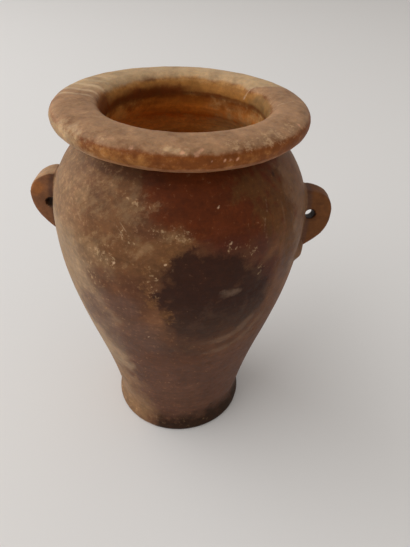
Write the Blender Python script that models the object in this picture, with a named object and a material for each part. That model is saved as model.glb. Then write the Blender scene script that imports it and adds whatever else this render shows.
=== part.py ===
"""Stone amphoriskos: a small jar with two pierced lugs, carved from one block.

Metres, +Z up. The origin is the middle of the underside, the lugs lie on the X axis,
and the side with the dark stain faces -Y. The whole jar is one closed body, because
its foot, wall, lip and lugs are one stone.
"""

import math

import bmesh
import bpy
from mathutils import Vector
from mathutils.geometry import interpolate_bezier

# Foot and outside of the body
FOOT_RADIUS = 0.0270
FOOT_HEIGHT = 0.0075
FOOT_EDGE_ROUND = 0.0006
WAIST_RADIUS = 0.0258
BELLY_RADIUS = 0.0433
BELLY_HEIGHT = 0.0949
NECK_RADIUS = 0.0298
NECK_HEIGHT = 0.1232

# Fullness of the body's two curves: reach of each handle as a share of the curve's
# rise, and how far a handle leans outwards for each step up or down
FLANK_START_REACH = 0.413
FLANK_START_LEAN = 0.145
FLANK_END_REACH = 0.361
SHOULDER_START_REACH = 0.603
SHOULDER_END_REACH = 0.176
SHOULDER_END_LEAN = 0.663

# Lip
LIP_RADIUS = 0.0400
LIP_THICKNESS = 0.0089
LIP_WIDEST_ABOVE_NECK = 0.0050
LIP_FLAT_RADIUS = 0.0319
LIP_UNDERSIDE_RADIUS = 0.0322
LIP_TOP_FULLNESS = 2.7
LIP_UNDERSIDE_FULLNESS = 1.8

# Mouth and throat, which the carver cut a little off the middle of the lip
MOUTH_OFF_CENTRE = 0.0009
MOUTH_EDGE_WIDTH = 0.0044
MOUTH_EDGE_FULLNESS = 2.1
THROAT_RADIUS = 0.0256
THROAT_DEPTH = 0.0054
THROAT_HEIGHT = 0.0008

# Hollow
NECK_WALL = 0.0048
BELLY_WALL = 0.0068
FOOT_WALL = 0.0082
FLOOR_THICKNESS = 0.0140
FLOOR_FLAT_RADIUS = 0.0070

# Lugs: upright half-round ears with a string hole drilled through each
LUG_ROOT_THICKNESS = 0.0078
LUG_RIM_THICKNESS = 0.0062
LUG_EDGE_ROUND = 0.0017
LUG_ROOT_DEPTH = 0.0030
LUG_HOLE_RADIUS = 0.0019
LUG_HOLE_FROM_WALL = 0.0002

# Each ear was carved by eye, so the two differ: the heights of its top, its outermost
# point and its foot on the wall, how far it stands out from the belly, how far its top
# rises outwards, how full the curves above and below its outermost point are, and how
# high its hole lies in the middle and how steeply it falls from -Y to +Y
RIGHT_LUG_TOP = 0.1040
RIGHT_LUG_WIDEST = 0.0950
RIGHT_LUG_FOOT = 0.0806
RIGHT_LUG_PROJECTION = 0.0095
RIGHT_LUG_TOP_RISE = 0.0006
RIGHT_LUG_TOP_FULLNESS = 0.66
RIGHT_LUG_HEEL_FULLNESS = 0.62
RIGHT_LUG_HOLE_HEIGHT = 0.0943
RIGHT_LUG_HOLE_SLOPE = math.radians(15.0)
LEFT_LUG_TOP = 0.1060
LEFT_LUG_WIDEST = 0.0976
LEFT_LUG_FOOT = 0.0828
LEFT_LUG_PROJECTION = 0.0088
LEFT_LUG_TOP_RISE = 0.0024
LEFT_LUG_TOP_FULLNESS = 0.44
LEFT_LUG_HEEL_FULLNESS = 0.56
LEFT_LUG_HOLE_HEIGHT = 0.0953
LEFT_LUG_HOLE_SLOPE = 0.0
LUG_FOOT_SLOPE = 0.80

# Ledge of uncut stone left on the wall beside the foot of the right lug
LEDGE_HEIGHT = 0.0847
LEDGE_AZIMUTH = math.radians(-14.0)
LEDGE_HALF_WIDTH = 0.0055
LEDGE_HALF_HEIGHT = 0.0025
LEDGE_HALF_DEPTH = 0.0034
LEDGE_PROJECTION = 0.0017

# Facets
SEGMENTS = 64
FLANK_STEPS = 13
SHOULDER_STEPS = 10
EDGE_STEPS = 5
LUG_CURVE_STEPS = 10
HOLE_SEGMENTS = 20

LIP_TOP_HEIGHT = NECK_HEIGHT + LIP_THICKNESS


def curve_points(start, start_handle, end_handle, end, steps):
    """Points along a cubic curve, both ends included."""
    knots = [Vector(point) for point in (start, start_handle, end_handle, end)]
    return [Vector(point[:2]) for point in interpolate_bezier(*knots, steps + 1)]


def quarter_round(corner, radial, vertical, fullness, steps):
    """Points from the side of a rounded edge to its flat, around an inner corner.

    corner is the centre of the rounding, radial and vertical are its half widths with
    their signs, and a fullness of 2 gives an ellipse.
    """
    points = []
    for step in range(steps + 1):
        angle = math.pi / 2 * step / steps
        across = math.cos(angle) ** (2 / fullness)
        along = math.sin(angle) ** (2 / fullness)
        points.append(corner + Vector((radial * across, vertical * along)))
    return points


def foot_outline():
    """Edge of the underside and the flared side of the foot, as (radius, height)."""
    edge_centre = Vector((FOOT_RADIUS - FOOT_EDGE_ROUND, FOOT_EDGE_ROUND))
    edge = quarter_round(edge_centre, FOOT_EDGE_ROUND, -FOOT_EDGE_ROUND, 2, 2)
    middle_height = (FOOT_EDGE_ROUND + FOOT_HEIGHT) / 2
    side = curve_points(
        (FOOT_RADIUS, FOOT_EDGE_ROUND),
        (FOOT_RADIUS, middle_height),
        (WAIST_RADIUS, middle_height),
        (WAIST_RADIUS, FOOT_HEIGHT),
        4,
    )
    return edge[::-1] + side[1:-1]


def body_outline():
    """Flank from the waist to the belly, then shoulder from the belly to the neck."""
    rise = BELLY_HEIGHT - FOOT_HEIGHT
    start_reach = FLANK_START_REACH * rise
    flank = curve_points(
        (WAIST_RADIUS, FOOT_HEIGHT),
        (WAIST_RADIUS + FLANK_START_LEAN * start_reach, FOOT_HEIGHT + start_reach),
        (BELLY_RADIUS, BELLY_HEIGHT - FLANK_END_REACH * rise),
        (BELLY_RADIUS, BELLY_HEIGHT),
        FLANK_STEPS,
    )
    rise = NECK_HEIGHT - BELLY_HEIGHT
    end_reach = SHOULDER_END_REACH * rise
    shoulder = curve_points(
        (BELLY_RADIUS, BELLY_HEIGHT),
        (BELLY_RADIUS, BELLY_HEIGHT + SHOULDER_START_REACH * rise),
        (NECK_RADIUS + SHOULDER_END_LEAN * end_reach, NECK_HEIGHT - end_reach),
        (NECK_RADIUS, NECK_HEIGHT),
        SHOULDER_STEPS,
    )
    return flank + shoulder[1:]


def radius_at(outline, height):
    """Radius of an outline that only rises, at a height."""
    for lower, upper in zip(outline, outline[1:]):
        if lower.y <= height <= upper.y:
            share = (height - lower.y) / (upper.y - lower.y)
            return lower.x + share * (upper.x - lower.x)
    return outline[-1].x


def lip_outline():
    """Underside, rounded rim and flat top of the lip, from the neck inwards."""
    widest = NECK_HEIGHT + LIP_WIDEST_ABOVE_NECK
    underside = quarter_round(
        Vector((LIP_UNDERSIDE_RADIUS, widest)),
        LIP_RADIUS - LIP_UNDERSIDE_RADIUS,
        -LIP_WIDEST_ABOVE_NECK,
        LIP_UNDERSIDE_FULLNESS,
        EDGE_STEPS,
    )
    top = quarter_round(
        Vector((LIP_FLAT_RADIUS, widest)),
        LIP_RADIUS - LIP_FLAT_RADIUS,
        LIP_THICKNESS - LIP_WIDEST_ABOVE_NECK,
        LIP_TOP_FULLNESS,
        EDGE_STEPS + 2,
    )
    return underside[::-1] + top[1:]


def mouth_outline():
    """Soft edge of the mouth, curving down from the lip's top to a short throat."""
    centre = Vector((THROAT_RADIUS + MOUTH_EDGE_WIDTH, LIP_TOP_HEIGHT - THROAT_DEPTH))
    edge = quarter_round(
        centre,
        -MOUTH_EDGE_WIDTH,
        THROAT_DEPTH,
        MOUTH_EDGE_FULLNESS,
        EDGE_STEPS + 1,
    )
    return edge[::-1] + [edge[0] - Vector((0, THROAT_HEIGHT))]


def wall_at(height):
    """Thickness of the wall square to its outside."""
    if height > BELLY_HEIGHT:
        share = (height - BELLY_HEIGHT) / (NECK_HEIGHT - BELLY_HEIGHT)
        return BELLY_WALL + share * (NECK_WALL - BELLY_WALL)
    share = (height - FOOT_HEIGHT) / (BELLY_HEIGHT - FOOT_HEIGHT)
    return FOOT_WALL + share * (BELLY_WALL - FOOT_WALL)


def hollow_outline():
    """Inside of the jar from below the throat down to the flat of its floor."""
    outside = body_outline()
    inside = []
    for below, point, above in zip(outside, outside[1:], outside[2:]):
        along = (above - below).normalized()
        inwards = Vector((-along.y, along.x))
        inside.append(point + inwards * wall_at(point.y))
    rounding_top = 2 * FLOOR_THICKNESS
    wall = [point for point in inside[::-2] if point.y > rounding_top]
    low_radius = radius_at(inside, rounding_top)
    floor_round = curve_points(
        (low_radius, rounding_top),
        (low_radius - FLOOR_THICKNESS * FLANK_START_LEAN, FLOOR_THICKNESS * 1.4),
        ((low_radius + FLOOR_FLAT_RADIUS) / 2, FLOOR_THICKNESS),
        (FLOOR_FLAT_RADIUS, FLOOR_THICKNESS),
        4,
    )
    return wall + floor_round


def ring(mesh, radius, height, shift):
    """A level ring of vertices whose centre is moved along X."""
    turns = [2 * math.pi * index / SEGMENTS for index in range(SEGMENTS)]
    return [
        mesh.verts.new((shift + radius * math.cos(turn), radius * math.sin(turn), height))
        for turn in turns
    ]


def new_object(name, mesh_data, material=None):
    """Put a finished bmesh in the scene under a name, shaded smooth."""
    mesh = bpy.data.meshes.new(name)
    mesh_data.to_mesh(mesh)
    mesh_data.free()
    mesh.shade_smooth()
    mesh.set_sharp_from_angle(angle=math.radians(35))
    obj = bpy.data.objects.new(name, mesh)
    bpy.context.scene.collection.objects.link(obj)
    if material:
        mesh.materials.append(material)
    return obj


def make_vessel(material):
    """Foot, body, lip, mouth and hollow as one stack of rings with flat end caps."""
    outside = foot_outline() + body_outline() + lip_outline()
    mouth = mouth_outline()
    hollow = hollow_outline()
    mesh = bmesh.new()
    rings = [ring(mesh, point.x, point.y, 0.0) for point in outside]
    rings += [ring(mesh, point.x, point.y, MOUTH_OFF_CENTRE) for point in mouth]
    rings += [ring(mesh, point.x, point.y, 0.0) for point in hollow]
    for lower, upper in zip(rings, rings[1:]):
        for index in range(SEGMENTS):
            following = (index + 1) % SEGMENTS
            mesh.faces.new((lower[index], lower[following], upper[following], upper[index]))
    mesh.faces.new(rings[0][::-1])
    mesh.faces.new(rings[-1])
    return new_object("vessel", mesh, material)


def lug_outline(top, rise, widest, foot, projection, top_fullness, heel_fullness):
    """Edge of an ear from its buried top round to its buried foot, as (x, height)."""
    body = body_outline()
    foot_wall = radius_at(body, foot)
    root = min(radius_at(body, top), foot_wall) - LUG_ROOT_DEPTH
    reach = BELLY_RADIUS + projection
    upper = curve_points(
        (root, top),
        (reach - projection * (1 - top_fullness), top + rise),
        (reach, widest + (top - widest) * top_fullness),
        (reach, widest),
        LUG_CURVE_STEPS,
    )
    lower = curve_points(
        (reach, widest),
        (reach, widest - (widest - foot) * heel_fullness),
        (foot_wall + projection / 2, foot + projection / 2 * LUG_FOOT_SLOPE),
        (root, foot - (foot_wall - root) * LUG_FOOT_SLOPE),
        LUG_CURVE_STEPS,
    )
    return upper + lower[1:]


def make_lug(name, side, projection, outline):
    """One ear as a plate in the XZ plane, thinner at its rim, with rounded edges."""
    mesh = bmesh.new()
    front, back = [], []
    for point in outline:
        share = max(0.0, (point.x - BELLY_RADIUS) / projection)
        half = (LUG_ROOT_THICKNESS + share * (LUG_RIM_THICKNESS - LUG_ROOT_THICKNESS)) / 2
        front.append(mesh.verts.new((side * point.x, -half, point.y)))
        back.append(mesh.verts.new((side * point.x, half, point.y)))
    mesh.faces.new(front)
    mesh.faces.new(back[::-1])
    for index in range(len(outline)):
        before = index - 1
        mesh.faces.new((front[before], back[before], back[index], front[index]))
    bmesh.ops.recalc_face_normals(mesh, faces=mesh.faces[:])
    lug = new_object(name, mesh)
    edge_round = lug.modifiers.new("Rounded edges", "BEVEL")
    edge_round.width = LUG_EDGE_ROUND
    edge_round.segments = 3
    edge_round.limit_method = "ANGLE"
    edge_round.angle_limit = math.radians(60)
    return lug


def make_hole(name, side, height, slope):
    """Drill for one lug: a rod that just clears the wall and falls towards +Y."""
    wall = radius_at(body_outline(), height)
    distance = wall + LUG_HOLE_FROM_WALL + LUG_HOLE_RADIUS
    mesh = bmesh.new()
    bmesh.ops.create_cone(
        mesh,
        cap_ends=True,
        segments=HOLE_SEGMENTS,
        radius1=LUG_HOLE_RADIUS,
        radius2=LUG_HOLE_RADIUS,
        depth=2 * LUG_ROOT_THICKNESS,
    )
    drill = new_object(name, mesh)
    drill.location = (side * distance, 0.0, height)
    drill.rotation_euler = (math.pi / 2 - slope, 0.0, 0.0)
    return drill


def make_ledge():
    """A flattened lump sunk in the wall until only its face stands out."""
    wall = radius_at(body_outline(), LEDGE_HEIGHT)
    distance = wall + LEDGE_PROJECTION - LEDGE_HALF_DEPTH
    mesh = bmesh.new()
    bmesh.ops.create_uvsphere(mesh, u_segments=14, v_segments=8, radius=1.0)
    size = Vector((LEDGE_HALF_DEPTH, LEDGE_HALF_WIDTH, LEDGE_HALF_HEIGHT))
    bmesh.ops.scale(mesh, vec=size, verts=mesh.verts[:])
    ledge = new_object("ledge", mesh)
    facing = Vector((math.cos(LEDGE_AZIMUTH), math.sin(LEDGE_AZIMUTH), 0.0))
    ledge.location = facing * distance + Vector((0.0, 0.0, LEDGE_HEIGHT))
    ledge.rotation_euler = (0.0, 0.0, LEDGE_AZIMUTH)
    return ledge


def combine(target, tool, operation):
    """Join a shape to the vessel or cut it away, and keep the tool out of the model."""
    boolean = target.modifiers.new(f"{operation.capitalize()} {tool.name}", "BOOLEAN")
    boolean.operation = operation
    boolean.solver = "EXACT"
    boolean.object = tool
    tool.hide_render = True
    tool.display_type = "WIRE"


def stone_material():
    """Brown banded calcite with a worn polish."""
    material = bpy.data.materials.new("banded_calcite")
    material.use_nodes = True
    shader = material.node_tree.nodes["Principled BSDF"]
    shader.inputs["Base Color"].default_value = (0.30, 0.16, 0.09, 1.0)
    shader.inputs["Roughness"].default_value = 0.45
    shader.inputs["Metallic"].default_value = 0.0
    return material


def build():
    for obj in list(bpy.data.objects):
        bpy.data.objects.remove(obj, do_unlink=True)
    vessel = make_vessel(stone_material())
    right_outline = lug_outline(
        RIGHT_LUG_TOP,
        RIGHT_LUG_TOP_RISE,
        RIGHT_LUG_WIDEST,
        RIGHT_LUG_FOOT,
        RIGHT_LUG_PROJECTION,
        RIGHT_LUG_TOP_FULLNESS,
        RIGHT_LUG_HEEL_FULLNESS,
    )
    left_outline = lug_outline(
        LEFT_LUG_TOP,
        LEFT_LUG_TOP_RISE,
        LEFT_LUG_WIDEST,
        LEFT_LUG_FOOT,
        LEFT_LUG_PROJECTION,
        LEFT_LUG_TOP_FULLNESS,
        LEFT_LUG_HEEL_FULLNESS,
    )
    right_lug = make_lug("right_lug", 1, RIGHT_LUG_PROJECTION, right_outline)
    left_lug = make_lug("left_lug", -1, LEFT_LUG_PROJECTION, left_outline)
    for added in (right_lug, left_lug, make_ledge()):
        combine(vessel, added, "UNION")
    right_hole = make_hole("right_hole", 1, RIGHT_LUG_HOLE_HEIGHT, RIGHT_LUG_HOLE_SLOPE)
    left_hole = make_hole("left_hole", -1, LEFT_LUG_HOLE_HEIGHT, LEFT_LUG_HOLE_SLOPE)
    for drill in (right_hole, left_hole):
        combine(vessel, drill, "DIFFERENCE")


build()
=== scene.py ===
"""Looks of the stone amphoriskos: worn, pitted and stained banded calcite.

Lengths are millimetres, on the frame's own axes and origin, until make_jar brings the
mesh to metres. A place on the jar is an azimuth in degrees, from +X towards +Y, and a
height above the ground. The photographed side faces -Y.
"""

import itertools
import math
from types import SimpleNamespace

import bmesh
import bpy
import numpy as np
from mathutils import Matrix, Vector


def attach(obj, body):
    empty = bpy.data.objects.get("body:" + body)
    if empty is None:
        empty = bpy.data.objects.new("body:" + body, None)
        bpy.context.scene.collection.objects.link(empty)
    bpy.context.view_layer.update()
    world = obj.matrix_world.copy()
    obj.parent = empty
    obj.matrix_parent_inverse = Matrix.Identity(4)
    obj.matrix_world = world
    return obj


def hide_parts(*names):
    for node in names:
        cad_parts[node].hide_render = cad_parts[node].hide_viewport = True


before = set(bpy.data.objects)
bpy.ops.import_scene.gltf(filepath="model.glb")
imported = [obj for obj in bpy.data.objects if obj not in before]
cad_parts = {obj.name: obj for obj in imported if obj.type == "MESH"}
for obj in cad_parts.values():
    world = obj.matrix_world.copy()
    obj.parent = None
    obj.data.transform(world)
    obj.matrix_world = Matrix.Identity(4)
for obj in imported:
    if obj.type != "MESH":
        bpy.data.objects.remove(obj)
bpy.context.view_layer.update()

MM = 0.001

# How finely the skin is divided: points round a ring, the step from ring to ring, the
# longer steps inside above and below the height down to which the mouth shows it, the
# radii of the flat rings of the underside and the floor, and the grain of the lugs
ROUND_STEPS = 368
ROW_STEP = 0.80
UPPER_INSIDE_STEP = 1.1
LOWER_INSIDE_STEP = 3.0
SEEN_INSIDE_DOWN_TO = 84.0
UNDERSIDE_RINGS = (7, 14, 20, 24)
FLOOR_RINGS = (4.5, 2.0)
LUG_GRAIN = 0.5

# Places on the solid, and how far off the column that faces -Y a corner of it may lie
LIP_TOP_HEIGHT = 132.1
BELLY_RADIUS = 43.3
MOUTH_OFF_CENTRE = 0.9
MOUTH_EDGE_RADIUS = 30.0
NECK_HEIGHT = 123.2
THROAT_FOOT_HEIGHT = 125.9
HOLLOW_TOP_HEIGHT = THROAT_FOOT_HEIGHT - 1
CORNER_TOLERANCE = 0.02

# Lugs, with the solid's own sizes, but for their rounder edges and for the string
# holes, which are a little narrower, lower and, at the right, steeper. side is the sign
# of X, rise is how far the top climbs outwards, a hole has its distance from the jar's
# axis and its height, and hole_slope is how many degrees it falls towards the back.
LUG_ROOT_THICKNESS = 7.8
LUG_RIM_THICKNESS = 6.2
LUG_EDGE_ROUND = 1.9
LUG_ROOT_DEPTH = 3.0
LUG_FOOT_SLOPE = 0.80
LUG_HOLE_RADIUS = 1.7
LUG_CURVE_STEPS = 24
LUG_EDGE_STEPS = 4
LUG_HOLE_STEPS = 40
LUG_EASE_ROUNDS = 3
LUG_EASE_PULL = 0.5
LUGS = {
    "right": {
        "side": 1,
        "top": 104.0,
        "rise": 0.6,
        "widest": 95.0,
        "foot": 80.6,
        "projection": 9.5,
        "top_fullness": 0.66,
        "heel_fullness": 0.62,
        "hole": (45.3, 94.1),
        "hole_slope": 18.0,
    },
    "left": {
        "side": -1,
        "top": 106.0,
        "rise": 2.4,
        "widest": 97.6,
        "foot": 82.8,
        "projection": 8.8,
        "top_fullness": 0.44,
        "heel_fullness": 0.56,
        "hole": (45.2, 95.0),
        "hole_slope": 0.0,
    },
}

# Softening where the lugs grow out of the wall: how far it reaches, how often each
# point is pulled to the middle of its neighbours, and how far
JOINT_REACH = 1.7
JOINT_ROUNDS = 14
JOINT_PULL = 0.6

# Unevenness of the skin, and what the lip has besides: depth, size of the lumps, seed
# and octaves
UNEVENNESS = ((0.13, 24, 1, 1), (0.055, 7, 2, 3), (0.028, 2.2, 5, 3))
LIP_UNEVENNESS = ((0.10, 9, 9, 3), (0.05, 2.6, 12, 3))
CREASE_DEPTH = 0.35
CRUST_DEPTH = 0.12

# Relief: tool rings in the hollow, pits, and chips in the lip as azimuth, height,
# radius, size and depth
HOLLOW_RING_PITCH = 2.4
HOLLOW_RING_DEPTH = 0.12
PIT_COUNT = 260
PIT_SEED = 8
PIT_SIZES = (0.7, 1.5)
PIT_DEPTHS = (0.05, 0.24)
PITS_CLEAR_OF_ENDS = 4
LIP_CHIPS = (
    (-105.1, 131.2, 39.0, 1.3, 0.35),
    (-92.5, 131.8, 38.0, 2.0, 0.40),
    (-88.5, 131.6, 38.6, 2.2, 0.45),
    (-85.5, 131.2, 39.2, 1.4, 0.35),
    (-80.4, 131.0, 39.4, 1.9, 0.60),
    (-75.6, 128.5, 40.1, 1.1, 0.30),
    (-70.4, 128.9, 40.1, 1.0, 0.35),
    (-66.5, 128.8, 40.1, 1.0, 0.30),
    (-139.3, 131.2, 39.2, 2.6, 0.30),
    (-133.0, 131.0, 39.4, 2.2, 0.35),
    (-124.4, 130.4, 39.8, 1.4, 0.30),
    (-59.0, 131.4, 38.8, 1.6, 0.30),
    (-52.0, 131.5, 38.6, 2.0, 0.30),
    (-26.5, 131.6, 38.6, 0.9, 0.35),
    (36.9, 132.2, 28.4, 1.2, 0.30),
)

# Ledge of uncut stone beside the foot of the right lug, with the notch over it, as
# patches too: azimuth, height, half width and half height
LEDGE = (-14.0, 85.2, 5.0, 1.8)
LEDGE_PROJECTION = 1.5
LEDGE_NOTCH = (-14.0, 88.4, 4.0, 0.8)
LEDGE_NOTCH_DEPTH = 0.5

# Patches on the wall: azimuth, height, half width and half height
STAIN = (
    (-74.5, 92.5, 15.0, 11.5),
    (-61.0, 82.5, 11.0, 12.0),
    (-77.0, 77.0, 10.0, 10.0),
    (-86.5, 87.5, 8.0, 7.0),
    (-83.5, 98.5, 6.0, 5.0),
)
GREY_STAIN = ((-62.0, 82.0, 15.0, 17.0), (-77.0, 70.0, 12.5, 12.0))
CRUST = (
    (-99.0, 95.5, 1.8, 2.6),
    (-99.5, 90.0, 2.0, 3.2),
    (-98.0, 84.5, 2.0, 3.0),
    (-93.0, 100.0, 2.4, 2.2),
    (-88.5, 103.5, 3.0, 1.8),
    (-84.0, 106.0, 3.4, 1.8),
    (-90.5, 78.5, 1.8, 3.0),
)
SMEARS = ((-67.2, 87.6, 3.2, 2.1), (-63.8, 87.6, 2.8, 1.6))
DUSTY = (
    (-157.0, 111.0, 6.0, 7.0),
    (-129.0, 112.5, 13.0, 6.0),
    (-112.0, 113.0, 9.0, 3.6),
    (-101.0, 114.0, 4.0, 2.0),
    (-130.0, 100.0, 8.0, 4.0),
    (-117.0, 104.0, 5.0, 3.0),
    (-150.0, 84.0, 8.0, 12.0),
    (-116.0, 97.0, 5.0, 2.6),
    (-103.0, 102.5, 4.0, 3.0),
    (-86.0, 107.5, 4.5, 1.6),
    (25.0, 108.0, 14.0, 7.0),
    (105.0, 98.0, 20.0, 12.0),
    (70.0, 45.0, 16.0, 12.0),
)
UMBER = (
    (-100.0, 110.0, 6.0, 4.0),
    (-105.0, 84.0, 7.0, 13.0),
    (-121.0, 88.0, 7.0, 6.0),
    (-102.0, 60.0, 10.0, 10.0),
    (-82.0, 57.0, 9.0, 7.0),
    (10.0, 92.0, 18.0, 12.0),
    (150.0, 60.0, 16.0, 18.0),
)
MAUVE = (
    (-129.0, 71.0, 8.0, 9.0),
    (-117.0, 60.0, 9.0, 9.0),
    (-103.0, 66.0, 8.0, 8.0),
    (-114.0, 80.0, 7.0, 6.0),
    (-52.0, 101.0, 4.0, 3.0),
    (-36.0, 88.0, 5.0, 8.0),
)
MAROON = ((-66.0, 103.5, 10.0, 5.0), (-54.0, 100.5, 7.0, 6.5), (-47.0, 92.0, 4.5, 8.0))
OLIVE = (
    (-34.0, 110.0, 11.0, 9.0),
    (-34.0, 98.0, 8.0, 10.0),
    (-52.0, 116.5, 8.0, 4.0),
    (-44.0, 108.0, 10.0, 6.0),
    (-91.0, 78.0, 2.6, 3.4),
)
CHALK = (
    (-119.0, 98.0, 4.5, 3.0),
    (-112.0, 97.5, 5.5, 2.2),
    (-124.5, 90.0, 4.0, 4.5),
    (-109.0, 105.5, 4.0, 2.4),
    (-104.0, 114.5, 4.5, 1.6),
    (-93.0, 107.5, 4.0, 1.8),
    (-85.0, 107.5, 4.0, 1.8),
    (-97.0, 93.0, 2.6, 6.0),
    (-66.0, 103.6, 4.5, 2.2),
    (-57.5, 101.0, 3.0, 3.0),
    (-53.0, 93.0, 2.0, 3.0),
    (100.0, 101.0, 8.0, 4.0),
    (40.0, 88.0, 6.0, 7.0),
)

# Specks on the wall: azimuth, height and size
SPECKS = (
    (-70.2, 114.0, 0.5),
    (-66.3, 104.6, 0.6),
    (-89.2, 109.4, 0.4),
    (-92.0, 99.2, 0.6),
    (-64.3, 102.9, 0.6),
    (-100.6, 67.4, 0.5),
    (-118.8, 97.9, 0.5),
    (-112.5, 96.6, 0.5),
)

# Dark specks, and pale and pinkish places on the lip and the left lug: azimuth, height,
# radius and size
DARK_SPECKS = (
    (-35.6, 117.4, 34.7, 0.9),
    (86.0, 126.2, 24.9, 0.8),
    (82.0, 126.6, 24.9, 0.6),
    (77.0, 126.9, 25.0, 0.6),
    (129.0, 127.4, 25.0, 0.8),
    (-90.0, 79.0, 42.0, 1.0),
    (-90.5, 77.2, 41.8, 0.7),
    (-101.5, 67.0, 40.0, 0.8),
)
LIP_PATCHES = (
    (-142.0, 131.0, 38.5, 3.2),
    (-136.0, 130.6, 38.9, 3.4),
    (-130.0, 130.0, 39.4, 2.4),
    (-125.0, 129.6, 39.7, 1.6),
    (-92.0, 131.2, 38.3, 0.9),
    (-90.4, 131.1, 38.4, 1.1),
    (-88.8, 131.2, 38.4, 1.1),
    (-87.4, 131.3, 38.3, 0.9),
)
LIP_CHALK = (
    (-118.0, 131.3, 38.0, 2.0),
    (-84.8, 130.9, 38.9, 1.6),
    (-66.0, 131.5, 37.4, 3.0),
    (-59.0, 131.2, 38.4, 2.8),
    (-52.0, 131.4, 37.8, 3.6),
    (-44.0, 131.6, 37.2, 3.6),
    (-33.5, 131.5, 37.5, 3.0),
)
LIP_SPECKS = (
    (-105.1, 130.9, 38.8, 0.8),
    (-86.0, 130.8, 38.9, 0.9),
    (-80.6, 130.6, 39.1, 1.3),
    (-78.5, 131.2, 38.4, 0.9),
    (-75.6, 128.5, 39.9, 0.5),
    (-70.4, 128.8, 39.9, 0.6),
    (-68.1, 128.9, 39.9, 0.6),
    (-65.7, 128.7, 39.9, 0.5),
    (-26.5, 131.3, 38.1, 0.9),
)
EAR_GLOWS = ((-175.0, 101.0, 50.5, 3.6),)

# The patches of each tone, how ragged they are and how soft, and the spots of others
PATCHES = {
    "stain": (STAIN, 0.20, 0.50),
    "grey_stain": (GREY_STAIN, 0.25, 0.70),
    "crust": (CRUST, 0.30, 0.80),
    "smear": (SMEARS, 0.15, 0.80),
    "dusty": (DUSTY, 0.30, 0.85),
    "umber": (UMBER, 0.30, 0.80),
    "mauve": (MAUVE, 0.30, 0.80),
    "maroon": (MAROON, 0.30, 0.80),
    "olive": (OLIVE, 0.30, 0.80),
    "chalk": (CHALK, 0.30, 0.90),
}
SPOTS = {
    "lip_specks": LIP_SPECKS,
    "dark_specks": DARK_SPECKS,
    "lip_patches": LIP_PATCHES,
    "lip_chalk": LIP_CHALK,
    "ear_glow": EAR_GLOWS,
}

# Growth bands low on the right, as arcs round one point: azimuth, height and reach
SWIRL_MIDDLE = (-75.0, 85.0, 24.0)
SWIRL_PITCH = 6.4

# Sides of the jar that tones keep to: an azimuth, and how many degrees to either side
# of it the tone is full and is gone, with an edge that is so many degrees ragged
SIDE_RAGGED = 14
SIDES = {
    "left": (-176, 22, 74),
    "left_edge": (-158, 28, 50),
    # painted sheen along the right silhouette
    "right_edge_sheen": (-8, 12, 30),
    "golden": (-108, 14, 36),
    "amber": (-75, 45, 87),
    # painted shade under the lip's overhang
    "under_lip_shade": (-112, 14, 36),
    "foot_left": (-145, 20, 52),
    "foot_dark": (-40, 44, 96),
    "honey_face": (-138, 26, 62),
    "tan_face": (-165, 30, 56),
    "veined": (170, 10, 30),
    "funnel_right": (-8, 34, 60),
    # painted shade on the funnel's left and back, which face away from the window
    "throat_left_shade": (184, 12, 34),
    "throat_back_shade": (136, 24, 52),
    # painted shade under the foot of the throat, and along a line at the right
    "throat_foot_shade": (146, 26, 100),
    "right_shade_line": (36, 44, 70),
    "hollow_right": (34, 30, 52),
    # painted shade at the top of the hollow is weaker on these sides
    "hollow_top_shade_left": (156, 18, 40),
    "hollow_top_shade_right": (30, 28, 52),
    "hollow_low": (102, 18, 40),
}

# Where tones set in up or down the jar: the height at which one is missing, the height
# at which it is full, and how ragged its edge is
LEVELS = {
    "plum": (78, 42, 8),
    "amber": (97, 112, 5),
    "golden": (84, 100, 0),
    "left_edge": (20, 46, 0),
    "left_edge_top": (106, 95, 0),
    # painted sheen along the right silhouette
    "right_edge_sheen": (70, 90, 0),
    # painted shade under the lip's overhang
    "under_lip_shade": (117.0, 119.8, 1),
    "stain_film": (92, 74, 0),
    "shoulder": (101, 110, 0),
    "above_foot": (2, 12, 0),
    "foot_left": (24, 12, 0),
    "foot_dark": (17, 1, 5),
    "lip_foot": (127.0, 126.0, 0.5),
    # painted highlight high on the back of the funnel
    "funnel_glow": (128.2, 130.8, 0),
    # painted shade on the funnel's back
    "throat_back_shade": (131.0, 126.6, 2),
    # painted shade under the foot of the throat, and along a line at the right
    "throat_foot_shade": (129.0, 126.0, 2),
    "throat_foot_shade_end": (123.4, 125.2, 0),
    "right_shade_line": (127.2, 126.2, 0),
    "right_shade_line_end": (123.8, 125.2, 1),
    # painted shade below the crease at the throat's foot, standing in for the shadow of an
    # undercut deeper than the mesh has
    "crease_shade": (126.8, 125.6, 1),
    "crease_shade_end": (119.6, 124.4, 2),
    # painted shade at the top of the hollow, under the throat
    "hollow_top_shade": (113, 119, 1),
    "hollow_low": (112, 108, 0),
}

# Left edge of the amber shoulder, as azimuths at these heights
AMBER_EDGE_HEIGHTS = (98, 104, 110, 118)
AMBER_EDGE = (-78, -85, -94, -107)

# Crack at the right of the mouth, which bounds the pale back of the lip, as azimuths at
# these distances from the jar's axis
CRACK_RADII = (25.4, 28.0, 30.0, 36.5)
CRACK = (41.0, 36.5, 30.5, 27.0)

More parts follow.
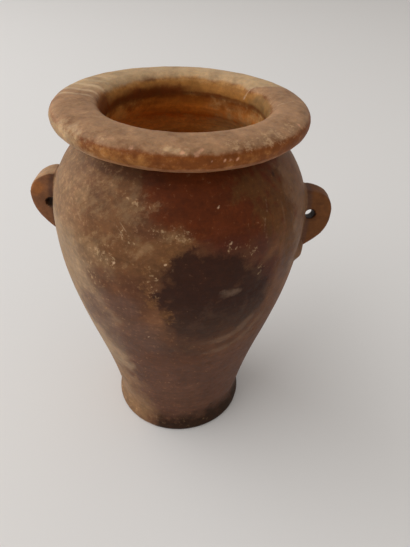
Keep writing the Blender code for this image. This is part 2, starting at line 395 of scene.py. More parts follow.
# Fine scratches and cracks, each with its two ends as azimuth, height and radius, its
# width and how plainly it shows
SCRATCHES = (
    ((-46.9, 112.9, 38.2), (-47.9, 110.2, 39.7), 0.50, 0.14),
    ((-49.8, 108.5, 40.5), (-51.2, 105.4, 41.8), 0.50, 0.14),
    ((-38.0, 110.6, 39.5), (-38.5, 104.8, 42.0), 0.60, 0.10),
    ((-110.8, 109.2, 40.3), (-107.6, 107.1, 41.2), 0.25, 0.35),
    ((-112.0, 108.0, 40.8), (-108.8, 105.9, 41.6), 0.25, 0.30),
    ((41.0, 126.2, 25.4), (36.5, 131.0, 28.0), 0.55, 0.75),
    ((36.5, 131.0, 28.0), (30.5, 132.2, 30.0), 0.50, 0.60),
    ((30.5, 132.2, 30.0), (27.0, 132.2, 36.5), 0.50, 0.50),
    ((-9.0, 130.2, 27.6), (-4.5, 132.1, 30.0), 0.50, 0.60),
    ((-4.5, 132.1, 30.0), (3.0, 132.2, 35.0), 0.45, 0.40),
)

# Grains of the stone: size in millimetres, octaves and how much the fine ones count
GRAINS = {
    "cloud": (18.0, 8, 0.62),
    "fleck": (5.0, 7, 0.68),
    "grit": (1.4, 5, 0.70),
    "dots": (0.6, 2, 0.50),
}

# How far apart the lines of a wave texture of scale 1 lie, in metres
WAVE_PERIOD = 0.314

# Tones of the bare stone, from its darker to its lighter clouds, and of its scratches
BARE_STONE = ((98, 61, 38), (122, 82, 54))
SCRATCHED_STONE = (190, 160, 128)

# Tones of the stone, and painted shade, sheen and highlight, laid over each other in this
# order:
# mask, display colour, how strong it gets, the grain that breaks it up and how much, and
# where it sets in
LAYERS = (
    ("plum", (94, 61, 46), 0.80, "cloud", 2.0, 0.30, 0.80),
    ("tan", (134, 101, 71), 0.92, "cloud", 1.3, 0.05, 0.85),
    ("left_edge", (158, 132, 104), 0.68, "cloud", 1.2, 0.15, 0.95),
    ("golden", (111, 75, 44), 0.66, "cloud", 1.1, 0.10, 0.95),
    ("umber", (88, 52, 32), 0.70, "fleck", 1.8, 0.30, 1.00),
    ("mauve", (99, 71, 58), 0.76, "cloud", 1.2, 0.15, 0.95),
    ("amber", (91, 39, 10), 0.97, "cloud", 1.4, 0.15, 0.90),
    ("olive", (98, 62, 28), 0.80, "brushed", 2.0, 0.30, 1.00),
    # painted sheen: a paler greyish tan along the right silhouette
    ("right_edge_sheen", (134, 102, 76), 0.50, "fleck", 1.4, 0.20, 0.90),
    ("dusty", (144, 111, 78), 0.62, "streaks", 4.6, 0.30, 1.40),
    # painted shade: a dark strip under the lip's overhang
    ("under_lip_shade", (66, 34, 19), 0.60, "fleck", 2.2, 0.30, 1.05),
    ("grey_stain", (78, 51, 36), 0.75, "cloud", 1.6, 0.20, 0.95),
    ("maroon", (80, 38, 26), 0.72, "fleck", 1.8, 0.20, 1.00),
    ("stain", (52, 27, 17), 0.95, "fleck", 2.4, 0.20, 0.95),
    ("stain_film", (86, 62, 46), 0.40, "fleck", 2.6, 0.40, 1.10),
    ("swirl", (122, 94, 72), 0.50, "fleck", 1.4, 0.10, 1.00),
    ("crust", (126, 86, 50), 0.54, "grit", 3.0, 0.40, 1.30),
    ("smear", (122, 98, 80), 0.56, "fleck", 2.0, 0.30, 1.00),
    ("foot_dark", (46, 28, 15), 0.97, "fleck", 2.0, 0.12, 1.05),
    ("chalk", (180, 150, 114), 0.60, "grit", 5.0, 1.00, 1.60),
    ("right_ear", (115, 71, 37), 0.92, "fleck", 1.8, 0.15, 0.95),
    ("left_ear", (124, 82, 54), 0.92, "fleck", 1.4, 0.15, 0.85),
    ("ear_root", (92, 64, 50), 0.70, "fleck", 1.4, 0.25, 0.90),
    ("ear_glow", (158, 98, 48), 0.60, "fleck", 1.8, 0.25, 0.95),
    ("left_ear_top", (170, 134, 100), 0.90, "fleck", 1.2, 0.20, 0.80),
    ("string_holes", (56, 34, 23), 0.90, "fleck", 0.6, 0.10, 0.80),
    ("lip_face", (124, 68, 26), 0.98, "fleck", 0.6, 0.10, 0.60),
    ("honey_face", (162, 110, 56), 0.68, "fleck", 3.4, 0.30, 1.15),
    ("tan_face", (158, 128, 94), 0.90, "fleck", 1.8, 0.20, 0.95),
    ("lip_foot", (168, 124, 94), 0.48, "fleck", 1.8, 0.25, 1.00),
    ("lip_top", (158, 121, 89), 0.97, "fleck", 1.8, 0.22, 0.98),
    ("lip_back", (183, 153, 115), 0.88, "cloud", 1.0, 0.10, 0.90),
    ("veined", (206, 180, 146), 0.45, "veins", 0.9, 1.00, 1.40),
    ("funnel", (170, 117, 57), 0.92, "fleck", 1.2, 0.15, 0.85),
    # painted highlight high on the back of the funnel
    ("funnel_glow", (188, 150, 100), 0.55, "fleck", 1.8, 0.25, 1.00),
    ("funnel_right", (134, 100, 60), 0.92, "fleck", 1.2, 0.15, 0.85),
    ("hollow", (240, 186, 108), 1.00, "fleck", 0.3, 0.10, 0.90),
    ("hollow_bands", (205, 134, 62), 0.60, "rings", 3.2, 0.30, 1.00),
    ("hollow_right", (206, 172, 118), 0.72, "rings", 2.0, 0.20, 0.90),
    # painted shade: darker amber at the top of the hollow, under the throat
    ("hollow_top_shade", (184, 102, 26), 0.85, "fleck", 1.6, 0.25, 0.90),
    ("hollow_low", (150, 76, 14), 0.45, "fleck", 1.6, 0.25, 0.90),
    # painted shade on the funnel's left and back
    ("throat_shade", (104, 50, 11), 0.92, "fleck", 1.4, 0.12, 1.00),
    # painted shade below the throat's crease
    ("crease_shade", (92, 44, 12), 0.62, "fleck", 2.2, 0.25, 1.15),
    # painted shade under the foot of the throat
    ("throat_foot_shade", (98, 46, 11), 0.82, "fleck", 1.4, 0.10, 1.00),
    ("lip_patches", (190, 160, 122), 0.52, "fleck", 3.0, 0.45, 1.15),
    ("lip_chalk", (192, 158, 120), 0.50, "grit", 4.6, 0.70, 1.40),
    ("lip_specks", (204, 152, 118), 0.75, "fleck", 1.0, 0.25, 0.85),
    ("specks", (210, 176, 140), 0.80, "grit", 2.4, 0.30, 0.90),
    ("dark_specks", (58, 32, 16), 0.80, "grit", 2.4, 0.30, 0.90),
    ("dust", (168, 138, 104), 0.36, "grit", 3.8, 0.50, 1.25),
)


def smooth(low, high, values):
    """0 below low, 1 above high and an even rise between, or the reverse."""
    share = np.clip((values - low) / (high - low), 0, 1)
    return share * share * (3 - 2 * share)


def lattice_value(cells, seed):
    """A repeatable number from 0 to 1 for each whole cell."""
    mixed = cells[:, 0] * 374761393 + cells[:, 1] * 668265263 + cells[:, 2] * 362437
    mixed = (mixed + seed * 1274126177) & 0xFFFFFFFF
    mixed = ((mixed ^ (mixed >> 13)) * 1103515245) & 0xFFFFFFFF
    mixed = ((mixed ^ (mixed >> 16)) * 1911520717) & 0xFFFFFFFF
    return (mixed ^ (mixed >> 15)) / 0xFFFFFFFF


def lumps(points, size, seed):
    """Smooth noise from -1 to 1 with lumps about one size across."""
    scaled = points / size + seed * 0.37
    cells = np.floor(scaled).astype(np.int64)
    share = scaled - cells
    share = share**3 * (share * (share * 6 - 15) + 10)
    total = np.zeros(len(points))
    for corner in itertools.product((0, 1), repeat=3):
        weight = np.prod(np.where(corner, share, 1 - share), axis=1)
        total += weight * lattice_value(cells + np.array(corner), seed)
    return 2 * total - 1


def mottle(points, size, seed, octaves=3):
    """Lumps with finer lumps on them."""
    layers = [lumps(points, size / 2**n, seed + n) / 1.7**n for n in range(octaves)]
    return sum(layers) / sum(1 / 1.7**n for n in range(octaves))


def bezier(start, start_handle, end_handle, end, steps):
    """Points along a cubic curve, both ends included."""
    share = np.linspace(0, 1, steps + 1)[:, None]
    knots = [np.array(point, float) for point in (start, start_handle, end_handle, end)]
    weights = (
        (1 - share) ** 3,
        3 * (1 - share) ** 2 * share,
        3 * (1 - share) * share**2,
        share**3,
    )
    return sum(weight * knot for weight, knot in zip(weights, knots))


def read_outline(node):
    """The solid's outline as rows of radius, height and shift along X.

    Every ring of the solid has a corner that faces -Y, so the edges between those
    corners lead from the underside over the lip to the floor of the hollow.
    """
    corner_of = {}
    for vertex in node.data.vertices:
        across, depth, height = vertex.co / MM
        shifts = (0.0, MOUTH_OFF_CENTRE) if height > HOLLOW_TOP_HEIGHT else (0.0,)
        off_column = min(abs(across - shift) for shift in shifts)
        if depth < -1 and off_column < CORNER_TOLERANCE:
            corner_of[vertex.index] = tuple(np.round((-depth, height, across), 2) + 0.0)
    links = {}
    for edge in node.data.edges:
        if all(index in corner_of for index in edge.vertices):
            first, second = (corner_of[index] for index in edge.vertices)
            if first != second:
                links.setdefault(first, set()).add(second)
                links.setdefault(second, set()).add(first)
    corner = min(links, key=lambda point: (point[1], -point[0]))
    outline = []
    while corner is not None:
        outline.append(corner)
        corner = next((other for other in links[corner] if other not in outline), None)
    return np.array(outline)


def finer_outline(outline):
    """The outline's corners joined by a smooth curve and divided into fine rows."""
    steps = np.linalg.norm(np.diff(outline[:, :2], axis=0), axis=1)
    reach = np.concatenate([[0], np.cumsum(steps)])
    slope = np.gradient(outline, reach, axis=0)
    top = int(np.argmax(outline[:, 1]))
    places = [0.0]
    while places[-1] < reach[-1]:
        index = np.searchsorted(reach, places[-1])
        height = np.interp(places[-1], reach, outline[:, 1])
        step = ROW_STEP
        if index > top and height < HOLLOW_TOP_HEIGHT:
            step = UPPER_INSIDE_STEP if height > SEEN_INSIDE_DOWN_TO else LOWER_INSIDE_STEP
        places.append(places[-1] + step)
    places = np.array(places[:-1] + [reach[-1]])
    before = np.clip(np.searchsorted(reach, places, side="right") - 1, 0, len(reach) - 2)
    span = (reach[before + 1] - reach[before])[:, None]
    share = (places[:, None] - reach[before][:, None]) / span
    return (
        (2 * share**3 - 3 * share**2 + 1) * outline[before]
        + (share**3 - 2 * share**2 + share) * span * slope[before]
        + (3 * share**2 - 2 * share**3) * outline[before + 1]
        + (share**3 - share**2) * span * slope[before + 1]
    )


def ring_points(row, steps):
    """One level ring of points for a row of the outline."""
    radius, height, shift = row
    turns = 2 * math.pi * np.arange(steps) / steps
    return np.stack(
        [shift + radius * np.cos(turns), radius * np.sin(turns), np.full(steps, height)], 1
    )


def stitch(lower, upper, lower_steps, upper_steps):
    """Faces between two rings, the upper of which may have half as many points."""
    faces = []
    if lower_steps == upper_steps:
        for index in range(lower_steps):
            following = (index + 1) % lower_steps
            faces.append(
                (lower + index, lower + following, upper + following, upper + index)
            )
        return faces
    for index in range(upper_steps):
        following = (index + 1) % upper_steps
        first = lower + 2 * index
        middle = first + 1
        last = lower + (2 * index + 2) % lower_steps
        faces.append((first, middle, upper + index))
        faces.append((middle, upper + following, upper + index))
        faces.append((middle, last, upper + following))
    return faces


def wall_mesh(rows):
    """The jar without its lugs: rings from the underside's middle to the floor's."""
    underside = [(radius, 0.0, 0.0) for radius in UNDERSIDE_RINGS]
    floor = [(radius, rows[-1][1], 0.0) for radius in FLOOR_RINGS]
    stack = [*underside, *rows, *floor]
    top = len(underside) + int(np.argmax(rows[:, 1]))
    points, faces, starts = [], [], []
    count = 0
    for index, row in enumerate(stack):
        in_hollow = index > top and row[1] < HOLLOW_TOP_HEIGHT
        steps = ROUND_STEPS // 2 if in_hollow else ROUND_STEPS
        points.append(ring_points(row, steps))
        starts.append((count, steps))
        count += steps
    for (lower, lower_steps), (upper, upper_steps) in zip(starts, starts[1:]):
        faces += stitch(lower, upper, lower_steps, upper_steps)
    points.append(np.array([[0, 0, 0], [0, 0, rows[-1][1]]], float))
    first_steps = starts[0][1]
    last, last_steps = starts[-1]
    for index in range(first_steps):
        faces.append(((index + 1) % first_steps, index, count))
    for index in range(last_steps):
        faces.append((last + index, last + (index + 1) % last_steps, count + 1))
    mesh = bpy.data.meshes.new("wall")
    mesh.from_pydata(np.concatenate(points).tolist(), [], faces)
    return mesh


def new_object(name, mesh):
    obj = bpy.data.objects.new(name, mesh)
    bpy.context.scene.collection.objects.link(obj)
    return obj


def evaluated_mesh(obj):
    """The object's mesh with its modifiers applied; the object itself goes."""
    bpy.context.view_layer.update()
    depsgraph = bpy.context.evaluated_depsgraph_get()
    mesh = bpy.data.meshes.new_from_object(obj.evaluated_get(depsgraph))
    bpy.data.objects.remove(obj)
    return mesh


def boolean(target, tool, operation):
    """Join tool to target or cut it away, and remove the tool."""
    modifier = target.modifiers.new(operation, "BOOLEAN")
    modifier.operation = operation
    modifier.solver = "EXACT"
    modifier.object = tool
    name = target.name
    result = new_object(name, evaluated_mesh(target))
    bpy.data.objects.remove(tool)
    return result


def lug_plate(lug, wall_radius):
    """A lug as a plate with rounded edges, rooted in the wall."""
    foot_wall = wall_radius(lug["foot"])
    root = min(wall_radius(lug["top"]), foot_wall) - LUG_ROOT_DEPTH
    reach = BELLY_RADIUS + lug["projection"]
    drop = lug["widest"] - lug["foot"]
    upper = bezier(
        (root, lug["top"]),
        (reach - lug["projection"] * (1 - lug["top_fullness"]), lug["top"] + lug["rise"]),
        (reach, lug["widest"] + (lug["top"] - lug["widest"]) * lug["top_fullness"]),
        (reach, lug["widest"]),
        LUG_CURVE_STEPS,
    )
    half_out = lug["projection"] / 2
    lower = bezier(
        (reach, lug["widest"]),
        (reach, lug["widest"] - drop * lug["heel_fullness"]),
        (foot_wall + half_out, lug["foot"] + half_out * LUG_FOOT_SLOPE),
        (root, lug["foot"] - (foot_wall - root) * LUG_FOOT_SLOPE),
        LUG_CURVE_STEPS,
    )
    outline = np.concatenate([upper, lower[1:]])
    work = bmesh.new()
    front, back = [], []
    for across, height in outline:
        share = max(0.0, (across - BELLY_RADIUS) / lug["projection"])
        half = (LUG_ROOT_THICKNESS + share * (LUG_RIM_THICKNESS - LUG_ROOT_THICKNESS)) / 2
        front.append(work.verts.new((lug["side"] * across, -half, height)))
        back.append(work.verts.new((lug["side"] * across, half, height)))
    work.faces.new(front)
    work.faces.new(back[::-1])
    for index in range(len(outline)):
        work.faces.new((front[index - 1], back[index - 1], back[index], front[index]))
    bmesh.ops.recalc_face_normals(work, faces=work.faces[:])
    mesh = bpy.data.meshes.new("lug")
    work.to_mesh(mesh)
    work.free()
    plate = new_object("lug", mesh)
    rounding = plate.modifiers.new("rounding", "BEVEL")
    rounding.width = LUG_EDGE_ROUND
    rounding.segments = LUG_EDGE_STEPS
    rounding.limit_method = "ANGLE"
    rounding.angle_limit = math.radians(60)
    return plate


def drill_object(lug):
    """A round bar where a lug's string hole goes."""
    hole_across, hole_height = lug["hole"]
    mesh = bpy.data.meshes.new("drill")
    work = bmesh.new()
    place = Matrix.Translation((lug["side"] * hole_across, 0, hole_height))
    turn = Matrix.Rotation(math.radians(90 - lug["hole_slope"]), 4, "X")
    bmesh.ops.create_cone(
        work,
        cap_ends=True,
        segments=LUG_HOLE_STEPS,
        radius1=LUG_HOLE_RADIUS,
        radius2=LUG_HOLE_RADIUS,
        depth=3 * LUG_ROOT_THICKNESS,
        matrix=place @ turn,
    )
    work.to_mesh(mesh)
    work.free()
    return new_object("drill", mesh)


def lug_object(lug, wall_radius):
    """A lug with its string hole, turned into an even fine skin."""
    pierced = boolean(lug_plate(lug, wall_radius), drill_object(lug), "DIFFERENCE")
    even = pierced.modifiers.new("even", "REMESH")
    even.mode = "VOXEL"
    even.voxel_size = LUG_GRAIN
    ease = pierced.modifiers.new("ease", "SMOOTH")
    ease.iterations = LUG_EASE_ROUNDS
    ease.factor = LUG_EASE_PULL
    return new_object("lug", evaluated_mesh(pierced))


def joined_mesh(rows, wall_radius):
    """Wall and lugs as one closed mesh."""
    jar = new_object("jar", wall_mesh(rows))
    for lug in LUGS.values():
        jar = boolean(jar, lug_object(lug, wall_radius), "UNION")
    mesh = jar.data
    bpy.data.objects.remove(jar)
    return mesh


def get_points(mesh):
    points = np.empty(len(mesh.vertices) * 3, np.float32)
    mesh.vertices.foreach_get("co", points)
    return points.reshape(-1, 3).astype(float)


def get_normals(mesh):
    normals = np.empty(len(mesh.vertices) * 3, np.float32)
    mesh.vertex_normals.foreach_get("vector", normals)
    return normals.reshape(-1, 3).astype(float)


def set_points(mesh, points):
    mesh.vertices.foreach_set("co", points.astype(np.float32).ravel())
    mesh.update()


def joint_share(points, wall_radius, reach):
    """1 on the crease between a lug and the wall, falling to 0 at reach from it."""
    off_wall = np.hypot(points[:, 0], points[:, 1]) - wall_radius(points[:, 2])
    beyond_side = np.abs(points[:, 1]) - LUG_ROOT_THICKNESS / 2
    heights = points[:, 2]
    share = np.zeros(len(points))
    for lug in LUGS.values():
        beyond_end = np.maximum(heights - lug["top"], lug["foot"] - heights)
        outside = np.hypot(np.maximum(beyond_side, 0), np.maximum(beyond_end, 0))
        off_plate = outside + np.minimum(np.maximum(beyond_side, beyond_end), 0)
        here = points[:, 0] * lug["side"] > BELLY_RADIUS / 2
        near = smooth(reach, reach / 4, np.hypot(off_wall, off_plate))
        share = np.maximum(share, here * near)
    return share


def ease_joints(mesh, wall_radius):
    """Soften the crease where each lug grows out of the wall."""
    work = bmesh.new()
    work.from_mesh(mesh)
    work.verts.ensure_lookup_table()
    near = joint_share(get_points(mesh), wall_radius, JOINT_REACH) > 0
    crowded = [work.verts[index] for index in np.flatnonzero(near)]
    bmesh.ops.remove_doubles(work, verts=crowded, dist=LUG_GRAIN / 3)
    work.to_mesh(mesh)
    work.free()
    points = get_points(mesh)
    share = joint_share(points, wall_radius, JOINT_REACH)[:, None]
    edges = np.empty(len(mesh.edges) * 2, np.int32)
    mesh.edges.foreach_get("vertices", edges)
    first, second = edges.reshape(-1, 2).T
    count = np.bincount(edges, minlength=len(points))[:, None]
    for _ in range(JOINT_ROUNDS):
        total = np.zeros_like(points)
        np.add.at(total, first, points[second])
        np.add.at(total, second, points[first])
        points += share * JOINT_PULL * (total / count - points)
    set_points(mesh, points)


def read_skin(mesh, wall_radius):
    """Where every point of the skin lies, and how far it belongs to each part."""
    points = get_points(mesh)
    across, depth, height = points.T
    radius = np.hypot(across, depth)
    off_wall = radius - wall_radius(height)
    normals = get_normals(mesh)
    rough_edge = mottle(points, 7.0, 40, 4)
    in_mouth = np.hypot(across - MOUTH_OFF_CENTRE, depth) < MOUTH_EDGE_RADIUS + 0.5
    above_foot = smooth(THROAT_FOOT_HEIGHT - 0.9, THROAT_FOOT_HEIGHT - 0.3, height)
    below_lip = smooth(LIP_TOP_HEIGHT - 0.3, LIP_TOP_HEIGHT - 3.2, height + rough_edge)
    funnel = in_mouth * above_foot * below_lip
    lip = smooth(NECK_HEIGHT - 0.4, NECK_HEIGHT + 0.4, height) * (1 - funnel)
    lip *= ~in_mouth | (above_foot > 0.5)
    level = smooth(0.20, 0.98, normals[:, 2] + 0.16 * rough_edge)
    level = np.where(in_mouth, 1.0, level)
    hollow = (off_wall < -2.0) & (height < THROAT_FOOT_HEIGHT) & (height > 5)
    ear = smooth(0.5, 1.3, off_wall) * smooth(6.2, 5.2, np.abs(depth))
    ear *= (height < NECK_HEIGHT - 10) & (height > 70)
    return SimpleNamespace(
        points=points,
        normals=normals,
        radius=radius,
        height=height,
        azimuth=np.degrees(np.arctan2(depth, across)),
        funnel=funnel,
        in_throat=in_mouth & (off_wall < -1),
        lip_top=lip * level,
        lip_face=lip * (1 - level),
        hollow=hollow * (1 - funnel),
        ear=ear,
        right_ear=ear * (across > 0),
        left_ear=ear * (across < 0),
        off_wall=off_wall,
        wall=(1 - lip) * (1 - funnel) * ~hollow * (1 - ear),
        rough_edge=rough_edge,
        wall_radius=wall_radius,
    )


def place_on_wall(azimuth, height, radius):
    """The point at an azimuth, a height and a distance from the jar's axis."""
    turn = math.radians(azimuth)
    return np.array([radius * math.cos(turn), radius * math.sin(turn), height])


def patches(skin, places, ragged, soft):
    """Patches with ragged edges, each an azimuth, a height and two half sizes."""
    nearest = np.full(len(skin.height), 9.0)
    for azimuth, height, half_width, half_height in places:
        turn = (skin.azimuth - azimuth + 180) % 360 - 180
        along = np.radians(turn) * skin.radius / half_width
        up = (skin.height - height) / half_height
        nearest = np.minimum(nearest, np.hypot(along, up))
    return smooth(1 + soft, 1 - soft, nearest + 2 * ragged * skin.rough_edge)


def spots(skin, places):
    """Soft round spots, each an azimuth, a height, a radius and a size."""
    share = np.zeros(len(skin.height))
    for azimuth, height, radius, size in places:
        middle = place_on_wall(azimuth, height, radius)
        away = np.linalg.norm(skin.points - middle, axis=1) / size
        share = np.maximum(share, smooth(1.3, 0.3, away + 0.5 * skin.rough_edge))
    return share


def facing(skin, side):
    """1 on a side of the jar, 0 on the others."""
    azimuth, full, gone = SIDES[side]
    turn = np.abs((skin.azimuth - azimuth + 180) % 360 - 180)
    return smooth(gone, full, turn + SIDE_RAGGED * skin.rough_edge)


def risen(skin, level):
    """0 where a tone is still missing up or down the jar, 1 where it is full."""
    missing, full, ragged = LEVELS[level]
    return smooth(missing, full, skin.height + ragged * skin.rough_edge)


def dent(points, middle, size, depth):
    """How deep a round dent is at each point."""
    away = np.linalg.norm(points - middle, axis=1) / size
    return depth * np.clip(1 - away**2, 0, 1) ** 2


def unevenness(points, layers):
    """Lumps of several sizes together."""
    return sum(depth * mottle(points, *values) for depth, *values in layers)


def wear(mesh, skin, crust):
    """Move the skin to the uneven, chipped and pitted surface of the real stone."""
    points, height = skin.points, skin.height
    rim = skin.lip_top + skin.lip_face
    outside = 1 - skin.hollow
    lift = unevenness(points, UNEVENNESS)
    lift += rim * unevenness(points, LIP_UNEVENNESS)
    near_throat = smooth(5.5, 2, np.abs(height - THROAT_FOOT_HEIGHT)) * (skin.off_wall < -1)
    lift += CREASE_DEPTH * near_throat * lumps(points, 6, 14)
    lift += skin.hollow * HOLLOW_RING_DEPTH * np.sin(
        2 * math.pi * (height + 0.5 * skin.rough_edge) / HOLLOW_RING_PITCH
    )
    for azimuth, chip_height, radius, size, depth in LIP_CHIPS:
        middle = place_on_wall(azimuth, chip_height, radius)
        lift -= dent(points, middle, size, depth) * (1 + 0.6 * skin.rough_edge)
    draw = np.random.RandomState(PIT_SEED)
    for _ in range(PIT_COUNT):
        azimuth = draw.uniform(-180, 180)
        pit_height = draw.uniform(PITS_CLEAR_OF_ENDS, NECK_HEIGHT - PITS_CLEAR_OF_ENDS)
        size = draw.uniform(*PIT_SIZES)
        middle = place_on_wall(azimuth, pit_height, skin.wall_radius(pit_height))
        lift -= dent(points, middle, size, draw.uniform(*PIT_DEPTHS)) * outside
    ledge = patches(skin, [LEDGE], 0.12, 0.5)
    notch = patches(skin, [LEDGE_NOTCH], 0.05, 0.6)
    lift += skin.wall * (LEDGE_PROJECTION * ledge - LEDGE_NOTCH_DEPTH * notch)
    lift += CRUST_DEPTH * crust * mottle(points, 1.6, 20)
    keep_flat = smooth(0.0, 0.5, height)
    set_points(mesh, points + skin.normals * (lift * keep_flat)[:, None])


def give_masks(mesh, masks):
    """Store each mask on the mesh, where the material reads it by name."""
    for name, values in masks.items():
        attribute = mesh.attributes.new(name, "FLOAT", "POINT")
        attribute.data.foreach_set("value", np.clip(values, 0, 1).astype(np.float32))


def in_string_holes(points):
    """1 on the skin of the holes drilled through the lugs."""
    across, depth, height = points.T
    share = np.zeros(len(points))
    for lug in LUGS.values():
        hole_across, hole_height = lug["hole"]
        fall = depth * math.tan(math.radians(lug["hole_slope"]))
        away = np.hypot(across * lug["side"] - hole_across, height - hole_height + fall)
        share = np.maximum(share, away < LUG_HOLE_RADIUS + 0.3)
    return share


def behind_crack(skin):
    """1 on the pale back of the lip, from the crack at the right to the left end."""
    past_crack = smooth(-0.8, 0.8, skin.azimuth - np.interp(skin.radius, CRACK_RADII, CRACK))
    turn = np.where(skin.azimuth < 0, skin.azimuth + 360, skin.azimuth)
    return past_crack * smooth(186, 156, turn + 12 * skin.rough_edge)


def swirls(skin):
    """Curved pale growth bands, as arcs round one point."""
    azimuth, height, reach = SWIRL_MIDDLE
    along = np.radians(skin.azimuth - azimuth) * skin.radius
    up = skin.height - height
    away = np.hypot(along, up) + 1.2 * skin.rough_edge
    bands = 0.5 - 0.5 * np.cos(2 * math.pi * (away - reach) / SWIRL_PITCH)
    heading = np.degrees(np.arctan2(up, along))
    share = smooth(6.4, 4.0, np.abs(away - reach)) * smooth(40, 16, np.abs(heading + 58))
    return bands * share


def wall_masks(skin):
    """Tones of the outside, from the foot to the neck, and the dust on it and the lip, with
    painted shade under the lip and a painted sheen at the right edge.
    """
    wall = skin.wall
    left = facing(skin, "left")
    left_tan = left * risen(skin, "above_foot") * (1 - 0.35 * risen(skin, "shoulder"))
    foot_tan = risen(skin, "foot_left") * facing(skin, "foot_left")
    amber_edge = np.interp(skin.height, AMBER_EDGE_HEIGHTS, AMBER_EDGE)
    past_edge = smooth(-15, 17, skin.azimuth - amber_edge + 12 * skin.rough_edge)
    warm_side = facing(skin, "amber") * past_edge
    specks = [(turn, up, skin.wall_radius(up), size) for turn, up, size in SPECKS]
    masks = {name: wall * patches(skin, *values) for name, values in PATCHES.items()}
    dust = wall * (0.3 + 0.4 * left) + 0.5 * (skin.lip_top + skin.lip_face)
    return {
        **masks,
        "tan": wall * np.maximum(left_tan, foot_tan),
        "plum": wall * risen(skin, "plum") * (1 - left),
        "golden": wall * facing(skin, "golden") * risen(skin, "golden"),
        "amber": wall * warm_side * risen(skin, "amber"),
        "left_edge": wall
        * facing(skin, "left_edge")
        * risen(skin, "left_edge")
        * risen(skin, "left_edge_top"),
        # painted sheen along the right silhouette, where the bright room reflects at a
        # grazing angle
        "right_edge_sheen": wall * facing(skin, "right_edge_sheen") * risen(skin, "right_edge_sheen"),
        # painted shade under the lip's overhang, at the front left
        "under_lip_shade": wall * risen(skin, "under_lip_shade") * facing(skin, "under_lip_shade"),
        "stain_film": masks["stain"] * risen(skin, "stain_film"),
        "swirl": wall * swirls(skin),
        "foot_dark": risen(skin, "foot_dark") * facing(skin, "foot_dark"),
        "specks": spots(skin, specks),
        "dust": dust * (1 - 0.5 * warm_side) * (1 - 0.6 * masks["stain"]),
    }


def lug_masks(skin):
    """Tones of the two lugs."""
    off_root = smooth(0.3, 3.4, skin.off_wall)
    return {
        "right_ear": skin.right_ear * off_root,
        "left_ear": skin.left_ear * off_root,
        "left_ear_top": skin.left_ear * smooth(0.1, 0.6, skin.normals[:, 2]),
        "ear_root": skin.ear * smooth(4.0, 1.0, skin.off_wall),
        "string_holes": skin.ear * in_string_holes(skin.points),
    }


def lip_masks(skin):
    """Tones of the lip's top and of its rounded face."""
    return {
        "lip_face": skin.lip_top + skin.lip_face,
        "honey_face": skin.lip_face * (0.3 + 0.7 * facing(skin, "honey_face")),
        "tan_face": skin.lip_face * facing(skin, "tan_face"),
        "lip_foot": skin.lip_face * risen(skin, "lip_foot"),
        "lip_top": skin.lip_top,
        "lip_back": skin.lip_top * behind_crack(skin),
        "veined": skin.lip_top * facing(skin, "veined"),
    }


def mouth_masks(skin):
    """Tones of the funnel of the mouth, of the throat and of the hollow under it, with
    painted shade on the funnel's left and back, under the throat's foot and at the top of
    the hollow, and a painted highlight high on the funnel's back.
    """
    # painted shade on the funnel's back, and below on its left
    back = risen(skin, "throat_back_shade") * facing(skin, "throat_back_shade")
    # painted shade under the foot of the throat, and along a line at the right
    foot = risen(skin, "throat_foot_shade") * risen(skin, "throat_foot_shade_end")
    foot *= facing(skin, "throat_foot_shade")
    right_shade_line = risen(skin, "right_shade_line") * risen(skin, "right_shade_line_end")
    right_shade_line *= 0.7 * facing(skin, "right_shade_line")
    return {
        "funnel": skin.funnel,
        # painted highlight high on the back of the funnel
        "funnel_glow": skin.funnel * risen(skin, "funnel_glow") * behind_crack(skin),
        "funnel_right": skin.funnel * facing(skin, "funnel_right"),
        # painted shade on the funnel's left and back
        "throat_shade": skin.funnel * np.maximum(back, facing(skin, "throat_left_shade")),
        # painted shade under the foot of the throat
        "throat_foot_shade": skin.in_throat * np.maximum(foot, right_shade_line),
        # painted shade below the throat's crease, all round
        "crease_shade": skin.in_throat * risen(skin, "crease_shade_end") * risen(skin, "crease_shade"),
        "hollow": skin.hollow,
        "hollow_bands": skin.hollow,
        "hollow_right": skin.hollow * facing(skin, "hollow_right"),
        # painted shade at the top of the hollow, weaker at the back-left and at the right
        "hollow_top_shade": skin.hollow
        * risen(skin, "hollow_top_shade")
        * (1 - 0.5 * facing(skin, "hollow_top_shade_left"))
        * (1 - 0.28 * facing(skin, "hollow_top_shade_right")),
        "hollow_low": skin.hollow * risen(skin, "hollow_low") * facing(skin, "hollow_low"),
    }


def make_masks(skin):
    """Where each tone of the stone, stain and crust lies, and where shade, sheen and a
    highlight are painted.
    """
    return {
        **wall_masks(skin),
        **lug_masks(skin),
        **lip_masks(skin),
        **mouth_masks(skin),
        **{name: spots(skin, places) for name, places in SPOTS.items()},
    }


